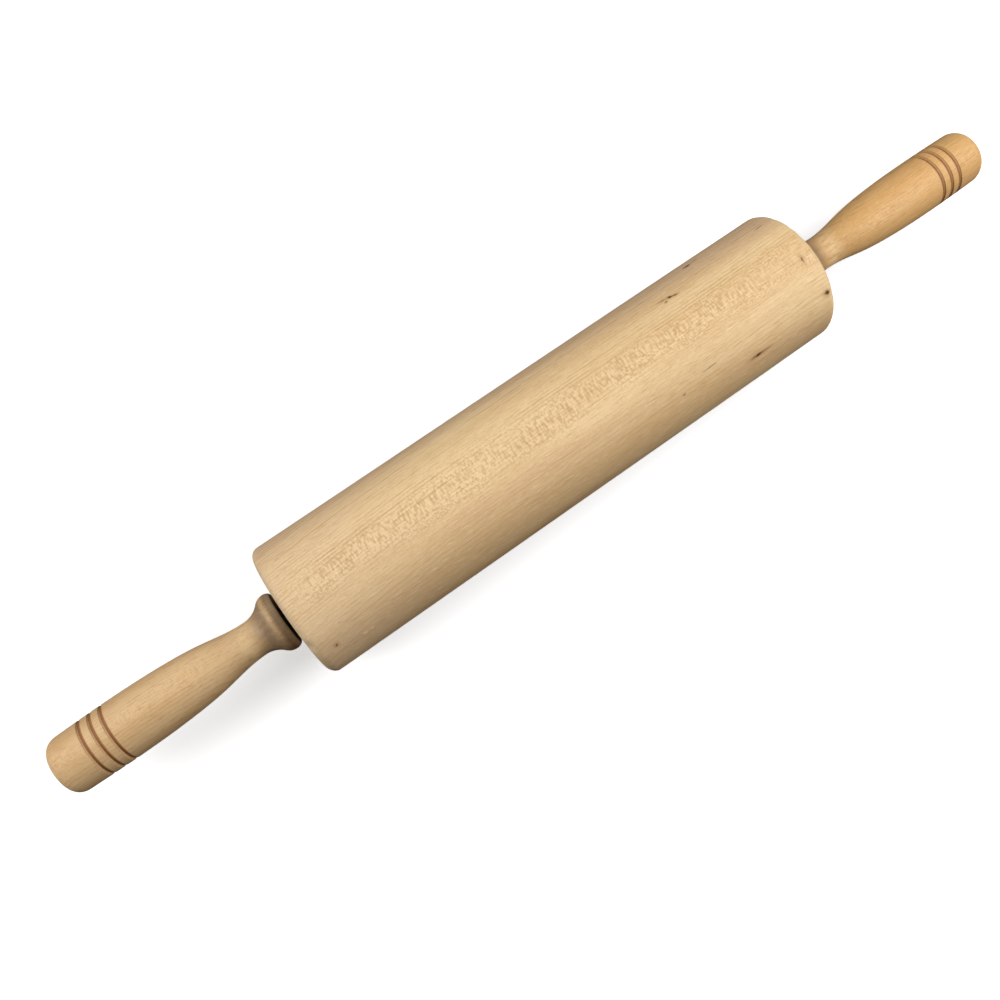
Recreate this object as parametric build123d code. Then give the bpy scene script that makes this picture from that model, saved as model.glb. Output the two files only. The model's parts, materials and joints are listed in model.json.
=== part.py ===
from build123d import *
import math
import os

# A rolling pin with a bored wooden barrel that turns on two ball bearings, on a steel rod
# between two turned handles. Millimetres, +X along the pin, +Z up, resting on Z = 0.

# Barrel
barrel_length = 304.8
barrel_diameter = 69.85
barrel_edge_round = 4.5
barrel_bore_clearance = 0.45    # round the inner rings, which face the bore's mouth

# Axle rod
rod_diameter = 8.0              # through the bearings and the handles
rod_shoulder = 1.0              # step up to the thicker middle, which the inner rings seat on
rod_tip_chamfer = 0.8
rod_tip_past_nut = 2.0

# Ball bearings: the usual 8 x 22 x 7 shielded size follows from these
ball_diameter = 3.968
ball_count = 7
race_wall = 1.476               # ring thickness under the bottom of its groove
race_clearance = 0.04           # between ball and groove
race_shoulder = 0.53            # height of the groove's sides
ring_chamfer = 0.25
cage_thickness = 1.4
cage_wall = 0.6                 # beside the ball pockets
cage_pocket_clearance = 0.116
cage_side_gap = 0.3             # from the cage to a shield
shield_thickness = 0.3
shield_recess = 0.2             # from a ring's face to the shield
shield_gap = 0.3                # from the shield to the inner ring
shield_lip = 0.6                # depth of the step that holds the shield
bearing_recess = 1.0            # from the barrel's end face to the bearing

# Handles: the collar, the neck, the grip and the rounded end
end_gap = 3.1                   # from the barrel's end face to the handle's collar
handle_length = 121.0
collar_radius = 15.1
collar_width = 8.0
neck_radius = 9.15
neck_place = 17.0               # from the collar's face to the thinnest point
grip_radius = 14.8
grip_place = 87.0               # from the collar's face to the thickest point
end_taper = 0.4                 # loss of radius from the grip to the rounded end
end_round = 6.6
end_crown = 0.5
collar_face_share = 0.905       # radius at the collar's face, as a share of its crest
collar_crest_share = 0.40       # place of the crest, as a share of the collar's width
collar_back_share = 0.868       # radius behind the collar, as a share of its crest
swell_place_shares = (0.325, 0.61)      # of the way from neck to grip
swell_radius_shares = (0.53, 0.875)     # of the growth from neck to grip
handle_bore_clearance = 0.1

# Turned grooves round each handle
groove_count = 3
groove_pitch = 5.7
groove_inset = 19.6             # from the handle's end to the outermost groove
groove_width = 1.8
groove_depth = 0.8

# Fixing inside each handle
nut_across_flats = 13.0
nut_height = 6.5
nut_face_share = 0.95           # radius of the nut's round end face, of half its width
washer_radius = 8.0
washer_thickness = 1.6
washer_bore_clearance = 0.2
pocket_clearance = 0.2          # round the washer
tip_room = 1.9                  # from the rod's tip to the plug
plug_length = 8.0

cut_overrun = 1.0

# Radii and places that follow from the sizes above
barrel_radius = barrel_diameter / 2
barrel_end = barrel_length / 2
rod_radius = rod_diameter / 2
ball_radius = ball_diameter / 2
race_radius = ball_radius + race_clearance
pitch_radius = rod_radius + race_wall + race_radius
inner_ring_radius = rod_radius + race_wall + race_shoulder
bearing_radius = pitch_radius + race_radius + race_wall
outer_ring_bore = bearing_radius - race_wall - race_shoulder
shield_radius = outer_ring_bore + shield_lip
cage_pocket_radius = ball_radius + cage_pocket_clearance
cage_half_width = cage_pocket_radius + cage_wall
shield_step = shield_recess + shield_thickness
bearing_half_width = cage_half_width + cage_side_gap + shield_step
bearing_outside = barrel_end - bearing_recess
bearing_middle = bearing_outside - bearing_half_width
bearing_inside = bearing_middle - bearing_half_width
collar_face = barrel_end + end_gap
handle_end = collar_face + handle_length
pocket_radius = washer_radius + pocket_clearance
plug_inside = handle_end - plug_length
rod_tip = plug_inside - tip_room
nut_outside = rod_tip - rod_tip_past_nut
nut_inside = nut_outside - nut_height
pocket_floor = nut_inside - washer_thickness


def outline(edges):
    """Flat section in the XY plane, closed by edges that run along X and up to radius Y."""
    return make_face(Curve() + edges)


def block(low, high, inner, outer):
    """Rectangular section from X low to X high, between two radii."""
    corners = [(low, inner), (high, inner), (high, outer), (low, outer), (low, inner)]
    return outline([Polyline(*corners)])


def turned(section):
    return revolve(section, Axis.X)


# Barrel body
def make_barrel():
    flat = barrel_end - barrel_edge_round
    shoulder = barrel_radius - barrel_edge_round
    blank = outline([
        Polyline((-barrel_end, shoulder), (-barrel_end, 0), (barrel_end, 0), (barrel_end, shoulder)),
        TangentArc((flat, barrel_radius), (barrel_end, shoulder), tangent=(1, 0)),
        Line((flat, barrel_radius), (-flat, barrel_radius)),
        TangentArc((-flat, barrel_radius), (-barrel_end, shoulder), tangent=(-1, 0)),
    ])
    bore = block(-barrel_end, barrel_end, 0, inner_ring_radius + barrel_bore_clearance)
    right_seat = block(bearing_inside, barrel_end, 0, bearing_radius)
    left_seat = block(-barrel_end, -bearing_inside, 0, bearing_radius)
    return turned(blank - bore - right_seat - left_seat)


def make_outer_ring():
    low = bearing_inside
    high = bearing_outside
    rim = bearing_radius - ring_chamfer
    corners = [
        (low, outer_ring_bore),
        (high, outer_ring_bore),
        (high, rim),
        (high - ring_chamfer, bearing_radius),
        (low + ring_chamfer, bearing_radius),
        (low, rim),
        (low, outer_ring_bore),
    ]
    body = outline([Polyline(*corners)])
    race = Pos(bearing_middle, pitch_radius) * Circle(race_radius)
    inside_step = block(low, low + shield_step, outer_ring_bore, shield_radius)
    outside_step = block(high - shield_step, high, outer_ring_bore, shield_radius)
    return turned(body - race - inside_step - outside_step)


def make_shield(low):
    inner = inner_ring_radius + shield_gap
    return turned(block(low, low + shield_thickness, inner, shield_radius))


# Balls and the cage that spaces them
def around_bearing(radius):
    """A ball of the given radius at each ball's place."""
    step = 360 / ball_count
    first = Pos(bearing_middle, 0, pitch_radius) * Sphere(radius)
    return [Rot(step * index, 0, 0) * first for index in range(ball_count)]


def make_balls():
    return Compound(around_bearing(ball_radius))


def make_cage():
    low = bearing_middle - cage_half_width
    high = bearing_middle + cage_half_width
    half = cage_thickness / 2
    body = turned(block(low, high, pitch_radius - half, pitch_radius + half))
    return body - around_bearing(cage_pocket_radius)


# Axle rod and what is clamped on it
def make_rod():
    middle_radius = rod_radius + rod_shoulder
    tip_radius = rod_radius - rod_tip_chamfer
    tip_flat = rod_tip - rod_tip_chamfer
    corners = [
        (-rod_tip, 0),
        (-rod_tip, tip_radius),
        (-tip_flat, rod_radius),
        (-bearing_inside, rod_radius),
        (-bearing_inside, middle_radius),
        (bearing_inside, middle_radius),
        (bearing_inside, rod_radius),
        (tip_flat, rod_radius),
        (rod_tip, tip_radius),
        (rod_tip, 0),
        (-rod_tip, 0),
    ]
    return turned(outline([Polyline(*corners)]))


def make_inner_ring():
    body = block(bearing_inside, bearing_outside, rod_radius, inner_ring_radius)
    race = Pos(bearing_middle, pitch_radius) * Circle(race_radius)
    return turned(body - race)


def make_spacer():
    return turned(block(bearing_outside, collar_face, rod_radius, inner_ring_radius))


def make_washer():
    bore_radius = rod_radius + washer_bore_clearance
    return turned(block(pocket_floor, nut_inside, bore_radius, washer_radius))


def make_nut():
    """Hexagon nut whose corners are turned off at 30 degrees on both faces."""
    half_width = nut_across_flats / 2
    corner_radius = half_width / math.cos(math.pi / 6)
    face_radius = half_width * nut_face_share
    slope = (corner_radius - face_radius) * math.tan(math.pi / 6)
    corners = [
        (nut_inside, 0),
        (nut_inside, face_radius),
        (nut_inside + slope, corner_radius),
        (nut_outside - slope, corner_radius),
        (nut_outside, face_radius),
        (nut_outside, 0),
        (nut_inside, 0),
    ]
    envelope = turned(outline([Polyline(*corners)]))
    hexagon = Rot(0, 90, 0) * extrude(RegularPolygon(corner_radius, 6), nut_height)
    hole = block(nut_inside - cut_overrun, nut_outside + cut_overrun, 0, rod_radius)
    return ((Pos(nut_inside, 0, 0) * hexagon) & envelope) - turned(hole)


# Handle and the plug that closes its pocket
def taper_radius():
    """Radius of the long arc that the grip follows from its thickest point to the end."""
    run = handle_length - end_round - end_crown - grip_place
    return (run**2 + end_taper**2) / (2 * end_taper)


def grip_radius_at(place):
    """Radius of the grip past its thickest point, at a place from the collar's face."""
    bend = taper_radius()
    return grip_radius - bend + math.sqrt(bend**2 - (place - grip_place) ** 2)


def handle_outline():
    """Section of a handle before it is bored and grooved."""
    def at(place, radius):
        return (collar_face + place, radius)

    def swell(place_share, radius_share):
        return at(
            neck_place + (grip_place - neck_place) * place_share,
            neck_radius + (grip_radius - neck_radius) * radius_share,
        )

    face_edge = at(0, collar_radius * collar_face_share)
    crest = at(collar_width * collar_crest_share, collar_radius)
    back = at(collar_width, collar_radius * collar_back_share)
    neck = at(neck_place, neck_radius)
    swells = [swell(*shares) for shares in zip(swell_place_shares, swell_radius_shares)]
    grip = at(grip_place, grip_radius)
    end_radius = grip_radius - end_taper
    taper_end = at(handle_length - end_crown - end_round, end_radius)
    round_end = at(handle_length - end_crown, end_radius - end_round)
    tip = at(handle_length, 0)
    return outline([
        Polyline(tip, at(0, 0), face_edge),
        TangentArc(crest, face_edge, tangent=(-1, 0)),
        TangentArc(crest, back, tangent=(1, 0)),
        TangentArc(neck, back, tangent=(-1, 0)),
        Spline(neck, *swells, grip, tangents=[(1, 0), (1, 0)]),
        TangentArc(grip, taper_end, tangent=(1, 0)),
        TangentArc(taper_end, round_end, tangent=(1, 0)),
        TangentArc(tip, round_end, tangent=(0, 1)),
    ])


def groove_section(index):
    """Round section of one groove, counted inwards from the handle's end."""
    place = handle_length - groove_inset - groove_pitch * index
    half = groove_width / 2
    radius = (half**2 + groove_depth**2) / (2 * groove_depth)
    height = grip_radius_at(place) - groove_depth + radius
    return Pos(collar_face + place, height) * Circle(radius)


def make_handle():
    bore = block(collar_face, handle_end, 0, rod_radius + handle_bore_clearance)
    pocket = block(pocket_floor, handle_end, 0, pocket_radius)
    grooves = [groove_section(index) for index in range(groove_count)]
    return turned(handle_outline() - bore - pocket - grooves)


def make_plug():
    return turned(handle_outline() & block(plug_inside, handle_end, 0, pocket_radius))


def make_right_side():
    """Every piece at the right-hand end, by name."""
    return {
        "handle": make_handle(),
        "handle_plug": make_plug(),
        "nut": make_nut(),
        "washer": make_washer(),
        "spacer": make_spacer(),
        "bearing_inner_ring": make_inner_ring(),
        "bearing_outer_ring": make_outer_ring(),
        "bearing_balls": make_balls(),
        "bearing_cage": make_cage(),
        "bearing_inside_shield": make_shield(bearing_inside + shield_recess),
        "bearing_outside_shield": make_shield(bearing_outside - shield_step),
    }


def write(name, shape):
    """Write one piece, lifted so that the barrel rests on Z = 0."""
    export_step(Pos(0, 0, barrel_radius) * shape, f"parts/{name}.step")


os.makedirs("parts", exist_ok=True)
write("barrel", make_barrel())
write("axle_rod", make_rod())
for piece, shape in make_right_side().items():
    write(f"right_{piece}", shape)
    write(f"left_{piece}", mirror(shape, about=Plane.YZ))
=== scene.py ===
import json
import math
import random

import bpy
import numpy as np
from mathutils import Matrix, Vector

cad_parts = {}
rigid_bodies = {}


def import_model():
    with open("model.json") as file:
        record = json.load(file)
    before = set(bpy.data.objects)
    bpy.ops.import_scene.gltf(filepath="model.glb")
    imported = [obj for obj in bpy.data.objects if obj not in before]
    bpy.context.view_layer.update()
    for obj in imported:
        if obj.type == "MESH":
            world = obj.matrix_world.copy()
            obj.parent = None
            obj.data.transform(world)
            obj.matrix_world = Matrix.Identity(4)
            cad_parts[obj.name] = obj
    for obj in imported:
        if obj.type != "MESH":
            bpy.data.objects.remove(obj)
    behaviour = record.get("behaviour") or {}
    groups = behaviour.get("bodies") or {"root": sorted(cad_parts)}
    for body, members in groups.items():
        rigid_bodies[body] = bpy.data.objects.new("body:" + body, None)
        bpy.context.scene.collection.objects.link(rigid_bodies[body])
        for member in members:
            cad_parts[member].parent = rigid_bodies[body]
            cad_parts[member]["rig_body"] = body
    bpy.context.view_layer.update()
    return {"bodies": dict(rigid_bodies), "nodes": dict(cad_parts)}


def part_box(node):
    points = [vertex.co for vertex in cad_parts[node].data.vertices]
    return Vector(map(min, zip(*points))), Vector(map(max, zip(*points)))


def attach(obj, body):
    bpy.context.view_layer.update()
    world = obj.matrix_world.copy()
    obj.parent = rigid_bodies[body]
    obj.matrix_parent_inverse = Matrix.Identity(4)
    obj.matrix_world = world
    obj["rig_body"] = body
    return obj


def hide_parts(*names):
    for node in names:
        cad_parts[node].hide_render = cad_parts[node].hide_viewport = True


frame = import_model()

# Units: the scene is in metres, and the sizes below are in millimetres
MM = 0.001
FULL_TURN = 2 * math.pi

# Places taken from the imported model
BARREL_LOW, BARREL_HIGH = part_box("barrel")
HANDLE_LOW, HANDLE_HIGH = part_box("right_handle")
AXIS_HEIGHT = (BARREL_LOW.z + BARREL_HIGH.z) / 2
AXIS = np.array([0.0, 0.0, AXIS_HEIGHT]) / MM
BARREL_RADIUS = (BARREL_HIGH.z - BARREL_LOW.z) / 2 / MM
BARREL_END = BARREL_HIGH.x / MM
HANDLE_START = HANDLE_LOW.x / MM
HANDLE_END = HANDLE_HIGH.x / MM

# Turned meshes
BARREL_TURNS = 256
HANDLE_TURNS = 176
PLUG_TURNS = 96
BARREL_STEP = 1.4                # longest step along the barrel's outline
HANDLE_STEP = 0.9
PLUG_STEP = 0.6
BARREL_BORE_LIMIT = 11.1         # the barrel's skin lies outside this radius
HANDLE_BORE_LIMIT = 8.3
SHARP_CORNER = math.radians(20)  # corners of an outline over this are softened
WOOD_SOFTENING = 0.22            # length cut off each side of a sharp corner
LARGEST_CUT = 0.4                # share of an edge that a softened corner may take
CORNER_STEPS = (0.0, 0.25, 0.5, 0.75, 1.0)
SHORTEST_EDGE = 0.02
SEAM_TOLERANCE = 0.002
PLACE_DIGITS = 3                 # places on a packed outline are told apart to 0.001 mm
SMOOTH_LIMIT = math.radians(50)

# Burnt grooves, from each handle's end
GROOVE_COUNT = 3
GROOVE_PITCH = 5.7
GROOVE_INSET = 19.6
GROOVE_HALF_WIDTH = 0.9

# Wear, dirt and painted light on a handle, from its collar's face: the grime round the collar and the
# grease on its face carry painted shade, and the rubbed crest a painted highlight. A reach of two
# values fades out between them.
CREST_PLACE = 5.2
CREST_REACH = 1.4
NECK_WEAR_PLACE = 20.0
NECK_WEAR_REACH = 5.0
GRIME_AND_SHADE_REACH = (9.0, 18.0)
FACE_REACH = (1.2, 3.2)
FACE_GREASE_AND_SHADE_REACH = (0.02, 0.3)
TIP_WEAR_REACH = (0.3, 4.0)      # from the handle's end
BURN_REACH = (0.25 * GROOVE_HALF_WIDTH, 1.15 * GROOVE_HALF_WIDTH)    # from a groove's middle

# Wear and dirt on the barrel, from its end face: the pale wear on the rims carries a painted
# highlight, and the grease on the end faces painted shade
RIM_WEAR_AND_HIGHLIGHT_REACH = (0.3, 3.0)
GREASE_AND_SHADE_REACH = (1.0, 2.0)
GREASE_AND_SHADE_RADII = (12.5, 17.0)

# Dents: each size and depth is drawn between two values
BARREL_SEED = 5
BARREL_DENTS = 60
BARREL_DENT_SIZES = (0.8, 2.4)
BARREL_NICKS = 26                # round the two rims
NICK_PLACES = (0.4, 2.5)         # from the end face
NICK_INSET = 1.2                 # from the barrel's radius
NICK_SIZES = (1.0, 3.0)
NICK_DEPTHS = (0.08, 0.3)
HANDLE_SEEDS = {"left": 11, "right": 12}
HANDLE_DENTS = 22
HANDLE_DENT_RADIUS = 14.5
HANDLE_DENT_SIZES = (0.8, 2.2)
DENT_DEPTHS = (0.03, 0.12)

# How far the wood is out of round, and the length over which that turns by half a radian
BARREL_OVAL = (0.03, 70)
HANDLE_OVAL = (0.02, 40)

# Marks on the barrel: place along X, angle from the top towards the camera, half length,
# half width, slant in degrees and strength
MINERAL_MARKS = [
    (80.3, -27.8, 1.5, 0.90, -14, 1.0),
    (82.8, -26.8, 2.6, 0.55, -16, 0.8),
    (76.2, -28.9, 3.8, 0.45, -6, 0.55),
    (77.0, -25.4, 1.3, 0.60, 10, 0.7),
    (101.6, -51.5, 2.6, 1.10, 0, 1.0),
    (106.5, -53.0, 3.4, 0.70, 0, 0.4),
    (102.0, 57.2, 2.4, 1.00, 0, 1.0),
    (102.0, 57.2, 5.0, 0.80, 0, 0.7),
    (105.0, 57.2, 9.0, 0.60, 0, 0.4),
    (143.2, 10.1, 0.55, 1.6, 0, 0.8),
    (147.4, 44.9, 1.8, 1.2, -35, 1.0),
    (75.3, 39.9, 5.5, 0.5, 0, 0.45),
    (141.1, -38.1, 3.0, 0.6, 0, 0.5),
    (-141.5, 55.0, 0.9, 0.7, 40, 0.8),
    (58.0, 47.5, 0.8, 0.5, 0, 0.6),
    (-28.0, -49.0, 1.0, 0.7, 0, 0.3),
]
PALE_SPECKS = [
    (-128.0, 61.9, 1.3, 0.9, 0, 0.9),
    (-124.2, 61.9, 1.0, 0.8, 0, 0.8),
]
RUDDY_HALOES = [
    (143.2, 10.1, 1.8, 4.2, 0, 0.35),
    (147.0, 44.9, 3.0, 2.6, 0, 0.45),
    (102.0, 57.2, 9.0, 2.0, 0, 0.35),
    (80.0, -27.8, 7.0, 2.0, -8, 0.25),
    (-141.5, 55.0, 2.2, 1.8, 0, 0.4),
]

# Camera: a lens of the photograph's perspective, placed from the barrel's axis
SENSOR_WIDTH = 36.0
FOCAL_SHARE = 0.96893            # focal length as a share of the picture's width
CAMERA_X = -0.11015
CAMERA_DISTANCE = 0.46930
CAMERA_ELEVATION = math.radians(76.4)
CAMERA_YAW = 0.14957
CAMERA_PITCH = 0.02459
NEAREST_CLIP = 0.01
PIN_SLOPE = (0.82572489, 0.56407305)    # the pin's direction in the picture

# Light: places in metres and power in watts
SOFT_LAMPS = [
    ("left_softbox", (-0.95, 0.42, 0.80), 10.9),
    ("right_softbox", (0.63, -0.34, 0.64), 8.6),
]
LAMP_SIZE = (0.9, 0.7)
SKY_TILT = (-0.03, 0.75, 1.0)    # towards the brightest part of the sky
SKY_REACH = (-0.35, 0.75)        # the sky grows brighter between these heights along the tilt
SKY_STRENGTH = (0.03, 0.24)
SKY_TONE = (1.0, 0.99, 0.975, 1.0)

# Floor and the wall that it turns up into, in metres
FLOOR_GLOW = 0.42
FLOOR_ROUGHNESS = 0.9
FLOOR_CLOUDS = (0.6, 0.6, 0.6)   # lengths of the floor's faint patches
FLOOR_RADIUS = 2.6
FLOOR_BEND = 0.9
FLOOR_BEND_STEPS = 12
FLOOR_TURNS = 96
WALL_HEIGHT = 4.0


def srgb(red, green, blue):
    """A colour given in screen values from 0 to 255, as the linear values that shaders use."""
    def linear(value):
        share = value / 255
        return share / 12.92 if share <= 0.04045 else ((share + 0.055) / 1.055) ** 2.4

    return (linear(red), linear(green), linear(blue), 1.0)


FLOOR_TONES = (srgb(244, 244, 243), srgb(250, 250, 249))


def clear_start_objects():
    """Remove what Blender's own start file brings."""
    kept = set(frame["nodes"].values()) | set(frame["bodies"].values())
    for thing in list(bpy.data.objects):
        if thing not in kept:
            bpy.data.objects.remove(thing)


# Outlines of turned pieces, as lists of (place along X, radius)
def cad_outline(node):
    """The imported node's section, in order. A turned solid keeps the line it was swept from as a
    seam on the +Y side of its axis. A solid piece's outline is open and ends on the axis."""
    mesh = frame["nodes"][node].data
    tolerance = SEAM_TOLERANCE * MM

    def on_seam(index):
        point = mesh.vertices[index].co
        return abs(point.z - AXIS_HEIGHT) < tolerance and point.y > -tolerance

    def key(index):
        point = mesh.vertices[index].co
        radius = math.hypot(point.y, point.z - AXIS_HEIGHT)
        return round(point.x / MM, PLACE_DIGITS), round(radius / MM, PLACE_DIGITS)

    near = {}
    for edge in mesh.edges:
        if all(on_seam(index) for index in edge.vertices):
            a, b = (key(index) for index in edge.vertices)
            if a != b:
                near.setdefault(a, set()).add(b)
                near.setdefault(b, set()).add(a)
    ends = sorted(point for point in near if len(near[point]) == 1)
    chain = [ends[0] if ends else min(near)]
    while True:
        onward = sorted(near[chain[-1]] - set(chain[-2:-1]))
        if not onward or onward[0] == chain[0]:
            break
        chain.append(onward[0])
    if ends:
        if chain[-1][1] > 0:
            chain.append((chain[-1][0], 0.0))
        if chain[0][1] > 0:
            chain.insert(0, (chain[0][0], 0.0))
    return without_short_edges(chain), not ends


def without_short_edges(points):
    """The points, apart from those that lie almost on the one before."""
    kept = [points[0]]
    for point in points[1:]:
        if math.dist(point, kept[-1]) > SHORTEST_EDGE:
            kept.append(point)
    return kept


def softened(points, closed, cut):
    """The outline with each sharp corner turned into a small curve."""
    made = []
    count = len(points)
    for index, corner in enumerate(points):
        if not closed and index in (0, count - 1):
            made.append(corner)
            continue
        before, after = points[index - 1], points[(index + 1) % count]
        into = Vector(corner) - Vector(before)
        out = Vector(after) - Vector(corner)
        if into.angle(out) < SHARP_CORNER:
            made.append(corner)
            continue
        start = Vector(corner) - into.normalized() * min(cut, into.length * LARGEST_CUT)
        stop = Vector(corner) + out.normalized() * min(cut, out.length * LARGEST_CUT)
        for share in CORNER_STEPS:
            first = start.lerp(Vector(corner), share)
            second = Vector(corner).lerp(stop, share)
            made.append(tuple(first.lerp(second, share)))
    return made


def refined(points, closed, step, bore_limit):
    """The outline with its long edges divided, apart from those inside the bore."""
    made = []
    count = len(points)
    for index in range(count if closed else count - 1):
        a, b = points[index], points[(index + 1) % count]
        parts = max(1, math.ceil(math.dist(a, b) / step))
        if max(a[1], b[1]) < bore_limit:
            parts = 1
        made += [tuple(Vector(a).lerp(Vector(b), part / parts)) for part in range(parts)]
    return made if closed else made + [points[-1]]


def outward_normals(outline, closed):
    """Unit normals of the outline in the (place, radius) plane, pointing out of the wood."""
    before = np.roll(outline, 1, axis=0)
    after = np.roll(outline, -1, axis=0)
    if not closed:
        before[0] = outline[0]
        after[-1] = outline[-1]
    along = after - before
    normals = np.stack([-along[:, 1], along[:, 0]], 1)
    normals /= np.linalg.norm(normals, axis=1)[:, None]
    return normals


def runs_backwards(outline):
    """True when the wood lies to the left of the outline, so that its normals point in."""
    x, r = outline.T
    return float(np.sum(x * np.roll(r, -1) - np.roll(x, -1) * r)) > 0


# Meshes
def turned_piece(name, node, turns, step, bore_limit, wear=None, marks=None):
    """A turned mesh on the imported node's outline, in the node's place and on its body.

    wear gives the depth that is worn off each point, and marks the named values from 0 to 1
    that the materials read, both from the points' places, radii and normals.
    """
    points, closed = cad_outline(node)
    points = refined(softened(points, closed, WOOD_SOFTENING), closed, step, bore_limit)
    outline = np.array(points)
    if runs_backwards(outline):
        outline = outline[::-1]
    normals = outward_normals(outline, closed)
    angles = np.arange(turns) / turns * FULL_TURN
    depth = np.zeros((len(outline), turns))
    if wear is not None:
        skin = (outline[:, 1] > bore_limit)[:, None]
        depth = wear(outline, angles) * skin
    x = outline[:, :1] - normals[:, :1] * depth
    r = outline[:, 1:] - normals[:, 1:] * depth
    places = np.stack([x, -r * np.sin(angles), AXIS[2] + r * np.cos(angles)], 2) * MM

    pole = outline[:, 1] < SHORTEST_EDGE
    sizes = np.where(pole, 1, turns)
    starts = np.concatenate([[0], np.cumsum(sizes)])
    vertices = np.concatenate([row[:size] for row, size in zip(places, sizes)])
    lengths = np.linalg.norm(np.roll(outline, -1, axis=0) - outline, axis=1)
    reach = np.concatenate([[0], np.cumsum(lengths)]) / np.sum(lengths if closed else lengths[:-1])

    faces = []
    corners = []
    rows = len(outline)
    for row in range(rows if closed else rows - 1):
        onward = (row + 1) % rows
        low, high = reach[row], reach[row + 1]
        for turn in range(turns):
            turned = (turn + 1) % turns
            left, right = turn / turns, (turn + 1) / turns
            ring = [
                (starts[row] + (0 if pole[row] else turn), (left, low)),
                (starts[onward] + (0 if pole[onward] else turn), (left, high)),
                (starts[onward] + (0 if pole[onward] else turned), (right, high)),
                (starts[row] + (0 if pole[row] else turned), (right, low)),
            ]
            if pole[row]:
                ring.pop(3)
            if pole[onward]:
                ring.pop(2)
            faces.append([int(index) for index, _ in ring])
            corners += [corner for _, corner in ring]

    mesh = bpy.data.meshes.new(name)
    mesh.from_pydata(vertices.tolist(), [], faces)
    corners = np.array(corners, np.float32).ravel()
    mesh.uv_layers.new(name="OFBake").uv.foreach_set("vector", corners)
    values = {"end": np.abs(normals[:, 0])}
    values.update(marks(outline) if marks else {})
    for key, value in values.items():
        layer = mesh.attributes.new(key, "FLOAT", "POINT")
        layer.data.foreach_set("value", np.repeat(value, sizes).astype(np.float32))
    mesh.shade_smooth()
    mesh.set_sharp_from_angle(angle=SMOOTH_LIMIT)
    piece = bpy.data.objects.new(name, mesh)
    bpy.context.scene.collection.objects.link(piece)
    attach(piece, frame["nodes"][node]["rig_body"])
    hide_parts(node)
    return piece


def fade(value, reach):
    """1 below the reach's first value, 0 above its second and smooth between."""
    near, far = reach
    share = np.clip((value - near) / (far - near), 0, 1)
    return 1 - share * share * (3 - 2 * share)


def dented(outline, angles, dents):
    """Depth at each point of round dents, each given by place, angle, radius, size and depth."""
    x = outline[:, :1]
    y = outline[:, 1:] * np.sin(angles)
    z = outline[:, 1:] * np.cos(angles)
    depth = np.zeros((len(outline), len(angles)))
    for place, angle, radius, size, deepest in dents:
        dent_y, dent_z = radius * math.sin(angle), radius * math.cos(angle)
        away = (x - place) ** 2 + (y - dent_y) ** 2 + (z - dent_z) ** 2
        depth += deepest * np.exp(-away / size**2)
    return depth


def drawn_dent(draw, place, radius, sizes, depths):
    """A dent at this place and radius, with its angle, size and depth drawn in that order."""
    return place, draw.uniform(0, FULL_TURN), radius, draw.uniform(*sizes), draw.uniform(*depths)


def out_of_round(outline, angles, oval):
    """Depth at each point of a slight oval that turns along the piece."""
    depth, twist = oval
    return depth * (1 + np.sin(2 * angles[None, :] + outline[:, :1] / twist))


def barrel_wear(outline, angles):
    """Small dents all over, nicks round both end edges and a barrel a hair out of round."""
    draw = random.Random(BARREL_SEED)
    dents = []
    for _ in range(BARREL_DENTS):
        place = draw.uniform(-BARREL_END, BARREL_END)
        dents.append(drawn_dent(draw, place, BARREL_RADIUS, BARREL_DENT_SIZES, DENT_DEPTHS))
    for _ in range(BARREL_NICKS):
        place = draw.choice((-1, 1)) * (BARREL_END - draw.uniform(*NICK_PLACES))
        dents.append(drawn_dent(draw, place, BARREL_RADIUS - NICK_INSET, NICK_SIZES, NICK_DEPTHS))
    return dented(outline, angles, dents) + out_of_round(outline, angles, BARREL_OVAL)


def handle_wear(seed):
    """The same for a handle, with its own seed and without nicks."""
    def wear(outline, angles):
        draw = random.Random(seed)
        side = 1 if outline[:, 0].mean() > 0 else -1
        dents = []
        for _ in range(HANDLE_DENTS):
            place = side * draw.uniform(HANDLE_START, HANDLE_END)
            dents.append(drawn_dent(draw, place, HANDLE_DENT_RADIUS, HANDLE_DENT_SIZES, DENT_DEPTHS))
        return dented(outline, angles, dents) + out_of_round(outline, angles, HANDLE_OVAL)

    return wear


def barrel_marks(outline):
    """Wear with a painted highlight along the rounded ends, and old grease with painted shade on the
    end faces near the bearings.
    """
    from_end = BARREL_END - np.abs(outline[:, 0])
    grease_and_shade = fade(outline[:, 1], GREASE_AND_SHADE_RADII) * fade(from_end, GREASE_AND_SHADE_REACH)
    return {"wear": fade(from_end, RIM_WEAR_AND_HIGHLIGHT_REACH), "grease_and_shade": grease_and_shade}


def handle_marks(outline):
    """Burning in the grooves, grime with painted shade round the collar, wear on its crest with a
    painted highlight, wear on its neck and tip, and grease with painted shade on the collar's face.
    """
    place = np.abs(outline[:, 0])
    from_start = place - HANDLE_START
    burn = np.zeros(len(outline))
    for index in range(GROOVE_COUNT):
        groove = HANDLE_END - GROOVE_INSET - GROOVE_PITCH * index
        burn = np.maximum(burn, fade(np.abs(place - groove), BURN_REACH))
    neck = np.exp(-(((from_start - NECK_WEAR_PLACE) / NECK_WEAR_REACH) ** 2))
    return {
        "burn": burn,
        "grime_and_shade": fade(from_start, GRIME_AND_SHADE_REACH),
        "face": fade(from_start, FACE_REACH),
        "crest": np.exp(-(((from_start - CREST_PLACE) / CREST_REACH) ** 2)),
        "grease_and_shade": fade(from_start, FACE_GREASE_AND_SHADE_REACH),
        "wear": np.maximum(fade(HANDLE_END - place, TIP_WEAR_REACH), neck),
    }


# Shader nodes: the colour sockets of the mix node stand among those for other kinds
MIX_INPUTS = (0, 6, 7)
MIX_OUTPUT = 2


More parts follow.
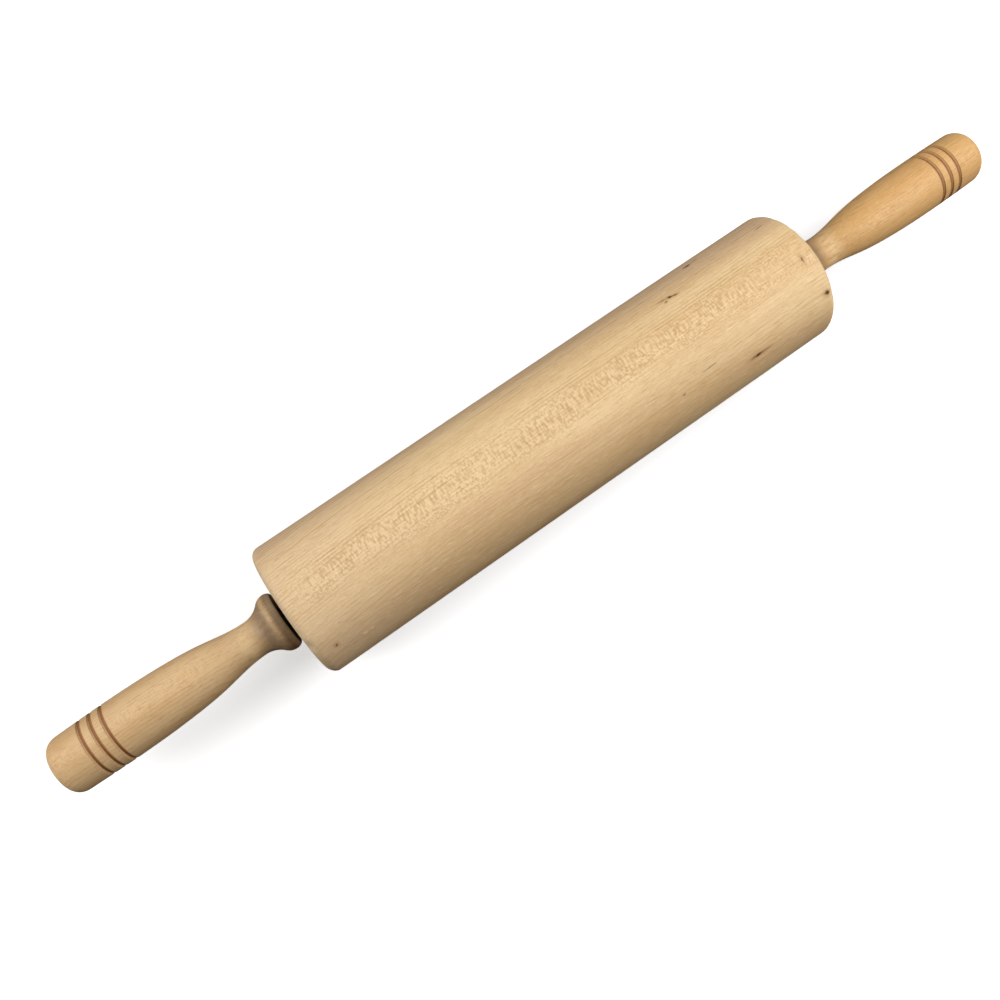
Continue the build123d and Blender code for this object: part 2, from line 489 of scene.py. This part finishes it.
class Graph:
    """Makes and joins the shader nodes of one tree."""

    def __init__(self, tree):
        self.tree = tree

    def node(self, kind, values=None, **settings):
        made = self.tree.nodes.new(kind)
        for name, setting in settings.items():
            setattr(made, name, setting)
        for socket, value in (values or {}).items():
            self.feed(made.inputs[socket], value)
        return made

    def feed(self, socket, value):
        if isinstance(value, bpy.types.NodeSocket):
            self.tree.links.new(value, socket)
        else:
            socket.default_value = value

    def math(self, operation, *values):
        return self.node("ShaderNodeMath", dict(enumerate(values)), operation=operation).outputs[0]

    def vector(self, operation, *values):
        made = self.node("ShaderNodeVectorMath", dict(enumerate(values)), operation=operation)
        return made.outputs["Value" if operation in ("LENGTH", "DOT_PRODUCT") else "Vector"]

    def length(self, a, b):
        """The length of a vector with these two parts."""
        squares = self.math("ADD", self.math("MULTIPLY", a, a), self.math("MULTIPLY", b, b))
        return self.math("SQRT", squares)

    def stretched(self, place, lengths, shift=0.0):
        """The place counted in these lengths along X, Y and Z."""
        scaled = self.vector("DIVIDE", place, lengths)
        return self.vector("ADD", scaled, (shift, shift, shift))

    def noise(self, place, detail=2.0, roughness=0.5):
        values = {"Vector": place, "Scale": 1.0, "Detail": detail, "Roughness": roughness}
        return self.node("ShaderNodeTexNoise", values).outputs["Fac"]

    def shifts(self, place):
        """Three noises round 0, to move a place by."""
        values = {"Vector": place, "Scale": 1.0, "Detail": 2.0}
        colour = self.node("ShaderNodeTexNoise", values).outputs["Color"]
        return self.vector("SUBTRACT", colour, (0.5, 0.5, 0.5))

    def span(self, value, low, high, to_low=0.0, to_high=1.0):
        """The value's range from low to high, spread smoothly over another range."""
        values = {"Value": value, "From Min": low, "From Max": high}
        values.update({"To Min": to_low, "To Max": to_high})
        made = self.node("ShaderNodeMapRange", values, interpolation_type="SMOOTHSTEP")
        return made.outputs["Result"]

    def mix(self, share, a, b, blend="MIX"):
        values = dict(zip(MIX_INPUTS, (share, a, b)))
        made = self.node("ShaderNodeMix", values, data_type="RGBA", blend_type=blend)
        return made.outputs[MIX_OUTPUT]

    def attribute(self, name):
        made = self.node("ShaderNodeAttribute", attribute_name=name, attribute_type="GEOMETRY")
        return made.outputs["Fac"]


def new_material(name):
    """A material, the graph of its nodes and its shader."""
    material = bpy.data.materials.new(name)
    material.use_nodes = True
    return material, Graph(material.node_tree), material.node_tree.nodes["Principled BSDF"]


# Noises in the wood: lengths in millimetres along the grain and across it, a step of the seed,
# detail and roughness
WOOD_NOISE = {
    "shade": ((170.0, 16.0, 16.0), 1, 2.0, 0.5),
    "warm": ((110.0, 22.0, 22.0), 2, 2.0, 0.5),
    "fleck": ((1.05, 4.5, 0.2), 3, 1.0, 0.5),
    "drift": ((260.0, 9.0, 9.0), 4, 2.0, 0.5),
    "clusters": ((30.0, 12.0, 5.0), 5, 1.0, 0.5),
    "fibre": ((6.0, 0.6, 0.6), 6, 3.0, 0.7),
    "pores": ((3.0, 0.35, 0.35), 7, 2.0, 0.7),
    "scuffs": ((6.0, 2.5, 2.5), 8, 3.0, 0.6),
    "ring_patches": ((32.0, 3.5, 3.5), 9, 2.0, 0.5),
    "charring": ((0.8, 2.4, 2.4), 10, 2.0, 0.5),
    "turning": ((0.35, 30.0, 30.0), 11, 1.0, 0.5),
    "grime_and_shade_patches": ((9.0, 5.0, 5.0), 12, 2.0, 0.5),
}
BEND_LENGTHS = (150.0, 45.0, 45.0)
RAGGED_LENGTHS = (1.6, 0.6, 0.6)

# Ranges that are spread over 0 to 1, or over the last two values
WOOD_SPANS = {
    "shade": (0.34, 0.66),
    "warm": (0.5, 0.72, 0.0, 0.5),
    "pores": (0.35, 0.65),
    "end_tone": (0.55, 0.98, 0.0, 0.8),
    "ring_start": (0.5, 0.9),
    "ring_stop": (1.0, 0.92),
    "ring_uneven": (0.0, 1.0, 0.2, 1.0),
    "ring_patches": (0.35, 0.6, 0.15, 1.0),
    "ring_on_end": (0.85, 0.99, 0.0, 0.7),
    "quarter": (0.36, 0.08),
    "clusters": (0.3, 0.6, 0.3, 1.0),
    "pale_fleck": (0.5, 0.62),
    "dark_fleck": (0.5, 0.38),
    "dark_fibre": (0.52, 0.75),
    "pale_fibre": (0.46, 0.26),
    "worn": (0.3, 0.6),
    "worn_on_end": (0.9, 0.99, 1.0, 0.2),
    "film_and_shade": (0.3, 0.7, 0.45, 0.7),
    "grime_and_shade_left": (0.2, 0.7, 0.72, 1.0),
    "rubbed_and_highlight": (0.35, 0.6, 0.55, 0.9),
    "painted_highlight_across": (-13.0, -2.0, 0.25, 1.0),
    "charring": (0.2, 0.6, 0.72, 1.0),
    "singed": (0.03, 0.4),
    "burnt": (0.55, 1.0),
    "spot": (1.25, 0.35),
    "rough": (0.3, 0.7),
}

RING_DRIFT = 2.2                 # how many rings the spacing drifts by
RAGGEDNESS = (2.2, 1.0, 1.0)     # how far the edges of spots wander
SPOT_DEPTH = 2.0
GREASE_AND_SHADE_COVER = 0.97
ROUGH_BELOW = 0.06               # how far the roughness goes below and above the look's
ROUGH_ABOVE = 0.07
WORN_ROUGHNESS = 0.08
FIBRE_RELIEF = 0.6               # shares of the bump's depth
TURNING_RELIEF = 0.25
FLECK_RELIEF = 0.12


def wood_noise(graph, look, place, name):
    """One of the wood's own noises at this place."""
    lengths, step, detail, roughness = WOOD_NOISE[name]
    return graph.noise(graph.stretched(place, lengths, look["seed"] + step), detail, roughness)


def wood_span(graph, value, name, *onto):
    """The value spread from its named range, over another one if that is given."""
    return graph.span(value, *WOOD_SPANS[name], *onto)


def wood_places(graph, look):
    """The place in the wood, the place as (along the grain, across the rings, along the rings),
    the radius from the pith, and that radius with the slope of the broad zones."""
    place = graph.node("ShaderNodeTexCoord").outputs["Object"]
    place = graph.vector("DIVIDE", place, (MM, MM, MM))
    place = graph.vector("SUBTRACT", place, tuple(AXIS))
    bend = graph.shifts(graph.stretched(place, BEND_LENGTHS, look["seed"]))
    bend = graph.vector("MULTIPLY", bend, (0.0, look["bend"], look["bend"]))
    parts = graph.node("ShaderNodeSeparateXYZ", {0: graph.vector("ADD", place, bend)}).outputs
    pith_y, pith_z = look["pith"]
    lift, lift_start, lift_length = look["lift"]
    from_start = graph.math("DIVIDE", graph.math("SUBTRACT", lift_start, parts["X"]), lift_length)
    lifted = graph.math("MULTIPLY", graph.math("EXPONENT", from_start), lift)
    across = graph.math("SUBTRACT", graph.math("ADD", parts["Y"], lifted), pith_y)
    up = graph.math("SUBTRACT", parts["Z"], pith_z)
    radius = graph.length(across, up)
    angle = graph.math("ARCTAN2", up, across)
    round_rings = graph.math("MULTIPLY", angle, math.hypot(pith_y, pith_z))
    values = {0: parts["X"], 1: radius, 2: round_rings}
    grain = graph.node("ShaderNodeCombineXYZ", values).outputs[0]
    slope = graph.math("MULTIPLY", parts["X"], look["zone_slope"])
    return place, grain, radius, graph.math("ADD", radius, slope)


def quarter_cut(graph, look, place):
    """1 where the surface lies along the rays, as on a quarter-sawn face, and 0 well away."""
    outward = graph.vector("NORMALIZE", graph.vector("MULTIPLY", place, (0.0, 1.0, 1.0)))
    ray = graph.vector("SUBTRACT", place, (0.0, *look["pith"]))
    ray = graph.vector("NORMALIZE", graph.vector("MULTIPLY", ray, (0.0, 1.0, 1.0)))
    slant = graph.math("ABSOLUTE", graph.vector("DOT_PRODUCT", outward, ray))
    return wood_span(graph, slant, "quarter")


def ring_lines(graph, look, place, radius, end):
    """Thin darker lines at the growth rings, uneven in spacing and strength, and clear on end
    grain."""
    drift = wood_noise(graph, look, place, "drift")
    number = graph.math("DIVIDE", radius, look["ring"])
    number = graph.math("ADD", number, graph.math("MULTIPLY", drift, RING_DRIFT))
    phase = graph.math("FRACT", number)
    line = wood_span(graph, phase, "ring_start")
    line = graph.math("MULTIPLY", line, wood_span(graph, phase, "ring_stop"))
    values = {"W": graph.math("FLOOR", number)}
    uneven = graph.node("ShaderNodeTexWhiteNoise", values, noise_dimensions="1D").outputs["Value"]
    strength = wood_span(graph, uneven, "ring_uneven")
    patches = wood_noise(graph, look, place, "ring_patches")
    strength = graph.math("MULTIPLY", strength, wood_span(graph, patches, "ring_patches"))
    strength = graph.math("MULTIPLY", strength, graph.span(radius, *look["ring_span"]))
    strength = graph.math("MAXIMUM", strength, wood_span(graph, end, "ring_on_end"))
    return graph.math("MULTIPLY", line, strength)


def handled_and_shaded(graph, look, place, scuffs, colour):
    """What hands and use leave on a handle, with painted light: grime with painted shade round the
    collar, a rubbed crest with a painted highlight, and burnt grooves.
    """
    patches = wood_noise(graph, look, place, "grime_and_shade_patches")
    # The stain, the grime and the film darken and grey the collar and its cove: dirt together with
    # painted shade beside the barrel.
    stained_and_shaded = graph.mix(1.0, colour, look["stain_and_shade"], "MULTIPLY")
    film_and_shade = graph.mix(graph.attribute("face"), look["grime_and_shade"], look["face_grime_and_shade"])
    soiled_and_shaded = graph.mix(wood_span(graph, patches, "film_and_shade"), stained_and_shaded, film_and_shade)
    across = graph.node("ShaderNodeSeparateXYZ", {0: place}).outputs["Y"]
    # The rubbed crest lightens the grime: wear together with a painted highlight, stronger on the +Y
    # side than on the −Y side.
    rubbed_and_highlight = graph.math("MULTIPLY", graph.attribute("crest"), wood_span(graph, patches, "rubbed_and_highlight"))
    rubbed_and_highlight = graph.math("MULTIPLY", rubbed_and_highlight, wood_span(graph, across, "painted_highlight_across"))
    left = graph.math("SUBTRACT", wood_span(graph, scuffs, "grime_and_shade_left"), rubbed_and_highlight)
    colour = graph.mix(graph.math("MULTIPLY", graph.attribute("grime_and_shade"), left), colour, soiled_and_shaded)
    charring = wood_span(graph, wood_noise(graph, look, place, "charring"), "charring")
    burn = graph.math("MULTIPLY", graph.attribute("burn"), charring)
    singed = graph.mix(wood_span(graph, burn, "singed"), colour, look["singed"])
    return graph.mix(wood_span(graph, burn, "burnt"), singed, look["burnt"])


def spots(graph, place, marks):
    """Uneven long spots, each at its own place on the barrel's surface."""
    ragged = graph.shifts(graph.stretched(place, RAGGED_LENGTHS))
    place = graph.vector("ADD", place, graph.vector("MULTIPLY", ragged, RAGGEDNESS))
    total = None
    for along, degrees, half_length, half_width, slant, strength in marks:
        angle = math.radians(degrees)
        turn = Matrix.Rotation(angle, 3, "X") @ Matrix.Rotation(math.radians(slant), 3, "Z")
        values = {
            "Vector": place,
            "Location": (along, -BARREL_RADIUS * math.sin(angle), BARREL_RADIUS * math.cos(angle)),
            "Rotation": tuple(turn.to_euler()),
            "Scale": (half_length, half_width, SPOT_DEPTH),
        }
        near = graph.node("ShaderNodeMapping", values, vector_type="TEXTURE").outputs[0]
        spot = wood_span(graph, graph.vector("LENGTH", near), "spot", 0.0, strength)
        total = spot if total is None else graph.math("MAXIMUM", total, spot)
    return total


def maple(name, look):
    """Solid maple: growth rings, ray flecks, fibres, broad shades, end grain, and wear and dirt, with
    painted highlights and painted shade among them.
    """
    material, graph, shader = new_material(name)
    place, grain, radius, sloped_radius = wood_places(graph, look)
    along = graph.node("ShaderNodeSeparateXYZ", {0: place}).outputs["X"]
    end = graph.attribute("end")

    def noise(kind, where=place):
        return wood_noise(graph, look, where, kind)

    def spread(value, kind, *onto):
        return wood_span(graph, value, kind, *onto)

    def covered(colour, share, strength, tone):
        return graph.mix(graph.math("MULTIPLY", share, strength), colour, tone)

    # Broad shades
    colour = graph.mix(spread(noise("shade"), "shade"), look["pale"], look["tan"])
    colour = graph.mix(spread(noise("warm"), "warm"), colour, look["pink"])
    for near, far, strength, tone in look["zones"]:
        colour = graph.mix(graph.span(sloped_radius, near, far, 0.0, strength), colour, tone)
    for near, far, strength, tone in look["stretches"]:
        colour = graph.mix(graph.span(along, near, far, 0.0, strength), colour, tone)

    # End grain and growth rings
    end_tone = graph.mix(spread(noise("pores"), "pores"), look["end"], look["tan"])
    colour = graph.mix(spread(end, "end_tone"), colour, end_tone)
    rings = ring_lines(graph, look, place, radius, end)
    colour = covered(colour, rings, look["ring_strength"], look["line"])

    # Ray flecks
    fleck = noise("fleck", grain)
    clusters = spread(noise("clusters", grain), "clusters")
    band = graph.math("MULTIPLY", quarter_cut(graph, look, place), 1 - look["fleck_rest"])
    clusters = graph.math("MULTIPLY", clusters, graph.math("ADD", band, look["fleck_rest"]))
    clusters = graph.math("MULTIPLY", clusters, graph.span(along, *look["fleck_span"]))
    pale_fleck = graph.math("MULTIPLY", spread(fleck, "pale_fleck"), clusters)
    dark_fleck = graph.math("MULTIPLY", spread(fleck, "dark_fleck"), clusters)
    colour = covered(colour, pale_fleck, look["fleck"], look["fleck_pale"])
    colour = covered(colour, dark_fleck, look["dark_fleck"], look["line"])

    # Fibres
    fibre = noise("fibre")
    colour = graph.mix(spread(fibre, "dark_fibre", 0.0, look["fibre"]), colour, look["line"])
    colour = graph.mix(spread(fibre, "pale_fibre", 0.0, look["fibre"]), colour, look["fleck_pale"])

    # Wear, marks and dirt; the wear on the barrel's rims and on the collar's crest carries painted
    # highlights, and the grime and grease carry painted shade
    scuffs = noise("scuffs")
    # On the barrel's rims this pale wear is also a painted highlight on the rounded edges.
    wear = graph.math("MULTIPLY", graph.attribute("wear"), spread(scuffs, "worn"))
    wear = graph.math("MULTIPLY", wear, spread(end, "worn_on_end"))
    colour = covered(colour, wear, look["wear"], look["worn"])
    for marks, tone in look["marks"]:
        colour = graph.mix(spots(graph, place, marks), colour, tone)
    if look["handled_and_shaded"]:
        colour = handled_and_shaded(graph, look, place, scuffs, colour)
    # Grease with painted shade: near black on the barrel's end faces and on the collar's face beside
    # the gap.
    colour = covered(colour, graph.attribute("grease_and_shade"), GREASE_AND_SHADE_COVER, look["grease_and_shade"])
    graph.feed(shader.inputs["Base Color"], colour)

    # Gloss
    rough = spread(fibre, "rough", look["rough"] - ROUGH_BELOW, look["rough"] + ROUGH_ABOVE)
    rough = graph.math("ADD", rough, graph.math("MULTIPLY", wear, WORN_ROUGHNESS))
    graph.feed(shader.inputs["Roughness"], rough)
    shader.inputs["Specular IOR Level"].default_value = look["gloss"]
    shader.inputs["Coat Weight"].default_value = look["coat"]
    shader.inputs["Coat Roughness"].default_value = look["coat_rough"]

    # Relief of the fibres, of the lathe's tool and of the flecks
    height = graph.math("MULTIPLY", fibre, FIBRE_RELIEF)
    height = graph.math("ADD", height, graph.math("MULTIPLY", noise("turning"), TURNING_RELIEF))
    height = graph.math("SUBTRACT", height, graph.math("MULTIPLY", pale_fleck, FLECK_RELIEF))
    values = {"Height": height, "Distance": look["bump"] * MM, "Strength": 1.0}
    graph.feed(shader.inputs["Normal"], graph.node("ShaderNodeBump", values).outputs[0])
    return material


# Looks of the wood. Zones lie between two radii from the pith, and stretches between two
# places along X, each with the strength and the tone that it reaches. lift is how far the grain
# bends up at a place along X, and the length over which that dies away.
BARREL_LOOK = {
    "seed": 3.0,
    "pith": (-150.0, 0.75 * BARREL_RADIUS),
    "bend": 5.0,
    "lift": (7.0, -BARREL_END, 55.0),
    "ring": 1.7,
    "ring_strength": 0.8,
    "ring_span": (138.0, 158.0, 0.45, 1.0),
    "fleck": 0.36,
    "dark_fleck": 0.42,
    "fleck_rest": 0.3,
    "fleck_span": (-BARREL_END, -134.0, 0.25, 1.0),
    "fibre": 0.62,
    "zone_slope": 0.05,
    "zones": [
        # The first zone, near the pith, turns the −Y side browner and darker: a heartwood tone
        # together with painted shade on that side.
        (132.0, 116.0, 0.5, srgb(192, 152, 104)),
        (168.0, 182.0, 0.5, srgb(210, 177, 149)),
    ],
    "stretches": [(-60.0, -150.0, 0.4, srgb(224, 194, 160))],
    "pale": srgb(234, 203, 154),
    "tan": srgb(222, 186, 136),
    "pink": srgb(220, 180, 140),
    "line": srgb(184, 142, 92),
    "fleck_pale": srgb(248, 222, 178),
    "end": srgb(190, 152, 108),
    # The pale tone of the barrel's rims: wear together with a painted highlight on the rounded edges.
    "worn": srgb(216, 198, 172),
    "wear": 0.65,
    "gloss": 0.3,
    "marks": [
        (RUDDY_HALOES, srgb(176, 120, 76)),
        (MINERAL_MARKS, srgb(80, 46, 18)),
        (PALE_SPECKS, srgb(240, 206, 156)),
    ],
    # Near black grease: grease together with painted shade in the gap between the barrel and a
    # handle.
    "grease_and_shade": srgb(26, 14, 9),
    "handled_and_shaded": False,
    "rough": 0.56,
    "coat": 0.0,
    "coat_rough": 0.3,
    "bump": 0.05,
}

HANDLE_LOOK = {
    **BARREL_LOOK,
    "seed": 41.0,
    "pith": (110.0, 60.0),
    "bend": 1.6,
    "lift": (0.0, 0.0, 40.0),
    "ring": 1.5,
    "ring_strength": 0.28,
    "ring_span": (0.0, 1.0, 0.0, 1.0),
    "fleck": 0.22,
    "dark_fleck": 0.15,
    "fleck_rest": 0.4,
    "fleck_span": (-1.0, 0.0, 1.0, 1.0),
    "fibre": 0.55,
    "zone_slope": 0.0,
    "zones": [],
    "stretches": [],
    "pale": srgb(219, 177, 119),
    "tan": srgb(211, 165, 106),
    "pink": srgb(212, 160, 109),
    "line": srgb(166, 113, 60),
    "fleck_pale": srgb(234, 196, 142),
    "end": srgb(176, 128, 78),
    "worn": srgb(240, 208, 158),
    "wear": 0.7,
    "marks": [],
    "handled_and_shaded": True,
    "gloss": 0.22,
    # The next three tones darken and grey the collar: dirt together with painted shade beside the
    # barrel.
    "stain_and_shade": srgb(160, 154, 150),
    "grime_and_shade": srgb(148, 124, 100),
    "face_grime_and_shade": srgb(184, 178, 158),
    "singed": srgb(160, 110, 66),
    "burnt": srgb(124, 78, 42),
    "rough": 0.5,
    "coat": 0.03,
    "coat_rough": 0.3,
    "bump": 0.03,
}

LEFT_HANDLE_LOOK = {
    **HANDLE_LOOK,
    "seed": 17.0,
    "pith": (-120.0, 20.0),
    "pale": srgb(221, 187, 141),
    "tan": srgb(206, 168, 120),
    "burnt": srgb(148, 100, 62),
}


# Steel: a finish's own tone, roughness and length of its tool marks are given in dress_steel
DULL_SHARE = 0.55                # tone of the dull patches, as a share of the finish's own
DULL_PATCHES = (0.4, 0.75, 0.0, 0.6)
STEEL_PATCH_LENGTHS = (4.0, 4.0, 4.0)
STEEL_ROUGH_PATCHES = (0.3, 0.7)
STEEL_ROUGH_BELOW = 0.06
STEEL_ROUGH_ABOVE = 0.12
# Grease on the steel outside the barrel's ends, dark enough to be painted shade in the gap.
STEEL_GREASE_AND_SHADE_PLACES = (BARREL_END - 1.0, BARREL_END - 0.2)
STEEL_GREASE_AND_SHADE_PATCHES = (0.3, 0.42, 0.85, 1.0)
STEEL_GREASE_ROUGHNESS = 0.25    # added to the steel's
TOOL_MARK_DEPTH = 0.01
TOOL_MARK_STRENGTH = 0.6


def steel(name, tone, rough, scale):
    """Turned or plated steel: faint rings of the tool, patches of tone, uneven gloss, and dark grease
    outside the barrel's ends that is also painted shade in the gap.
    """
    material, graph, shader = new_material(name)
    place = graph.node("ShaderNodeTexCoord").outputs["Object"]
    place = graph.vector("DIVIDE", place, (MM, MM, MM))
    place = graph.vector("SUBTRACT", place, tuple(AXIS))
    parts = graph.node("ShaderNodeSeparateXYZ", {0: place}).outputs
    radius = graph.length(parts["Y"], parts["Z"])
    lathe = graph.node("ShaderNodeCombineXYZ", {0: parts["X"], 1: radius, 2: 0.0}).outputs[0]
    rings = graph.noise(graph.stretched(lathe, (scale, scale, 1.0)))
    patches = graph.noise(graph.stretched(place, STEEL_PATCH_LENGTHS), 3.0)
    dull = tuple(DULL_SHARE * value for value in tone[:3]) + (1.0,)
    colour = graph.mix(graph.span(patches, *DULL_PATCHES), tone, dull)
    # Grease with painted shade on the steel in the gap.
    outside = graph.span(graph.math("ABSOLUTE", parts["X"]), *STEEL_GREASE_AND_SHADE_PLACES)
    grease_and_shade = graph.math("MULTIPLY", outside, graph.span(patches, *STEEL_GREASE_AND_SHADE_PATCHES))
    colour = graph.mix(grease_and_shade, colour, BARREL_LOOK["grease_and_shade"])
    graph.feed(shader.inputs["Base Color"], colour)
    graph.feed(shader.inputs["Metallic"], graph.math("SUBTRACT", 1.0, grease_and_shade))
    roughness = (rough - STEEL_ROUGH_BELOW, rough + STEEL_ROUGH_ABOVE)
    uneven = graph.span(patches, *STEEL_ROUGH_PATCHES, *roughness)
    greasy = graph.math("MULTIPLY", grease_and_shade, STEEL_GREASE_ROUGHNESS)
    graph.feed(shader.inputs["Roughness"], graph.math("ADD", uneven, greasy))
    values = {"Height": rings, "Distance": TOOL_MARK_DEPTH * MM, "Strength": TOOL_MARK_STRENGTH}
    graph.feed(shader.inputs["Normal"], graph.node("ShaderNodeBump", values).outputs[0])
    return material


def dress_steel():
    """Give every metal node that stays in view its own finish, by the record's slot."""
    finishes = {
        "zinc_steel": steel("zinc_steel_finish", srgb(196, 200, 204), 0.34, 0.25),
        "bearing_steel": steel("bearing_steel_finish", srgb(206, 207, 208), 0.2, 0.12),
        "cage_steel": steel("cage_steel_finish", srgb(170, 171, 172), 0.38, 0.4),
    }
    for node in frame["nodes"].values():
        for slot in node.material_slots:
            name = slot.material.name if slot.material else ""
            if name in finishes:
                slot.material = finishes[name]


def build_wood():
    """The barrel, and each handle with its plug from one piece of wood."""
    barrel = turned_piece(
        "barrel_body", "barrel", BARREL_TURNS, BARREL_STEP, BARREL_BORE_LIMIT,
        barrel_wear, barrel_marks,
    )
    barrel.data.materials.append(maple("barrel_maple", BARREL_LOOK))
    for side, look in (("left", LEFT_HANDLE_LOOK), ("right", HANDLE_LOOK)):
        finish = maple(f"{side}_handle_maple", look)
        handle = turned_piece(
            f"{side}_grip_body", f"{side}_handle", HANDLE_TURNS, HANDLE_STEP, HANDLE_BORE_LIMIT,
            handle_wear(HANDLE_SEEDS[side]), handle_marks,
        )
        plug = turned_piece(
            f"{side}_end_plug", f"{side}_handle_plug", PLUG_TURNS, PLUG_STEP, 0.0, None, handle_marks,
        )
        for piece in (handle, plug):
            piece.data.materials.append(finish)


# Floor, light and camera
def build_floor():
    """A pale floor that turns up into a wall all round. It neither blocks light nor throws it
    back, and isn't mirrored."""
    rings = [(FLOOR_RADIUS, 0.0)]
    for step in range(1, FLOOR_BEND_STEPS + 1):
        angle = math.pi / 2 * step / FLOOR_BEND_STEPS
        reach = FLOOR_RADIUS + FLOOR_BEND * math.sin(angle)
        rings.append((reach, FLOOR_BEND * (1 - math.cos(angle))))
    rings.append((FLOOR_RADIUS + FLOOR_BEND, WALL_HEIGHT))
    points = []
    faces = [list(range(FLOOR_TURNS))]
    for row, (radius, height) in enumerate(rings):
        for turn in range(FLOOR_TURNS):
            angle = FULL_TURN * turn / FLOOR_TURNS
            points.append((radius * math.cos(angle), radius * math.sin(angle), height))
            if row > 0:
                onward = (turn + 1) % FLOOR_TURNS
                below, here = (row - 1) * FLOOR_TURNS, row * FLOOR_TURNS
                faces.append([below + turn, here + turn, here + onward, below + onward])
    mesh = bpy.data.meshes.new("floor")
    mesh.from_pydata(points, [], faces)
    mesh.shade_smooth()
    mesh.polygons[0].use_smooth = False
    floor = bpy.data.objects.new("floor", mesh)
    bpy.context.scene.collection.objects.link(floor)
    floor.visible_diffuse = False
    floor.visible_glossy = False
    floor.visible_shadow = False
    material, graph, shader = new_material("pale_floor")
    place = graph.node("ShaderNodeTexCoord").outputs["Object"]
    cloud = graph.noise(graph.stretched(place, FLOOR_CLOUDS))
    graph.feed(shader.inputs["Base Color"], graph.mix(cloud, *FLOOR_TONES))
    shader.inputs["Roughness"].default_value = FLOOR_ROUGHNESS
    shader.inputs["Emission Color"].default_value = (1.0, 1.0, 1.0, 1.0)
    shader.inputs["Emission Strength"].default_value = FLOOR_GLOW
    mesh.materials.append(material)


def build_light():
    """A soft sky that is brighter behind the pin, and a soft lamp towards each of its ends."""
    world = bpy.context.scene.world or bpy.data.worlds.new("studio")
    bpy.context.scene.world = world
    world.use_nodes = True
    graph = Graph(world.node_tree)
    background = world.node_tree.nodes["Background"]
    direction = graph.node("ShaderNodeTexCoord").outputs["Generated"]
    height = graph.vector("DOT_PRODUCT", direction, tuple(Vector(SKY_TILT).normalized()))
    graph.feed(background.inputs["Strength"], graph.span(height, *SKY_REACH, *SKY_STRENGTH))
    background.inputs["Color"].default_value = SKY_TONE
    for name, place, power in SOFT_LAMPS:
        area = bpy.data.lights.new(name, "AREA")
        area.shape = "RECTANGLE"
        area.size, area.size_y = LAMP_SIZE
        area.energy = power
        lamp = bpy.data.objects.new(name, area)
        bpy.context.scene.collection.objects.link(lamp)
        lamp.visible_camera = False
        lamp.location = place
        aim = Vector((0, 0, AXIS_HEIGHT)) - lamp.location
        lamp.rotation_mode = "QUATERNION"
        lamp.rotation_quaternion = aim.to_track_quat("-Z", "Y")


def build_camera():
    """The photograph's viewpoint, above the pin and a little in front, turned as it lies there."""
    level = Vector((0, math.cos(CAMERA_ELEVATION), -math.sin(CAMERA_ELEVATION)))
    along = Vector((1, 0, 0))
    down = Vector((0, -math.sin(CAMERA_ELEVATION), -math.cos(CAMERA_ELEVATION)))
    ahead = math.cos(CAMERA_YAW) * level + math.sin(CAMERA_YAW) * along
    right = math.cos(CAMERA_YAW) * along - math.sin(CAMERA_YAW) * level
    forward = math.cos(CAMERA_PITCH) * ahead + math.sin(CAMERA_PITCH) * down
    below = math.cos(CAMERA_PITCH) * down - math.sin(CAMERA_PITCH) * ahead
    cosine, sine = PIN_SLOPE
    picture_right = cosine * right + sine * below
    picture_down = cosine * below - sine * right
    camera = bpy.data.objects.new("camera", bpy.data.cameras.new("camera"))
    bpy.context.scene.collection.objects.link(camera)
    turn = Matrix((picture_right, -picture_down, -forward)).transposed()
    eye = Vector((CAMERA_X, 0, AXIS_HEIGHT)) - level * CAMERA_DISTANCE
    camera.matrix_world = Matrix.Translation(eye) @ turn.to_4x4()
    camera.data.sensor_width = SENSOR_WIDTH
    camera.data.lens = FOCAL_SHARE * SENSOR_WIDTH
    camera.data.clip_start = NEAREST_CLIP
    bpy.context.scene.camera = camera


clear_start_objects()
build_camera()
build_wood()
dress_steel()
build_floor()
build_light()
bpy.context.scene.view_settings.view_transform = "Standard"
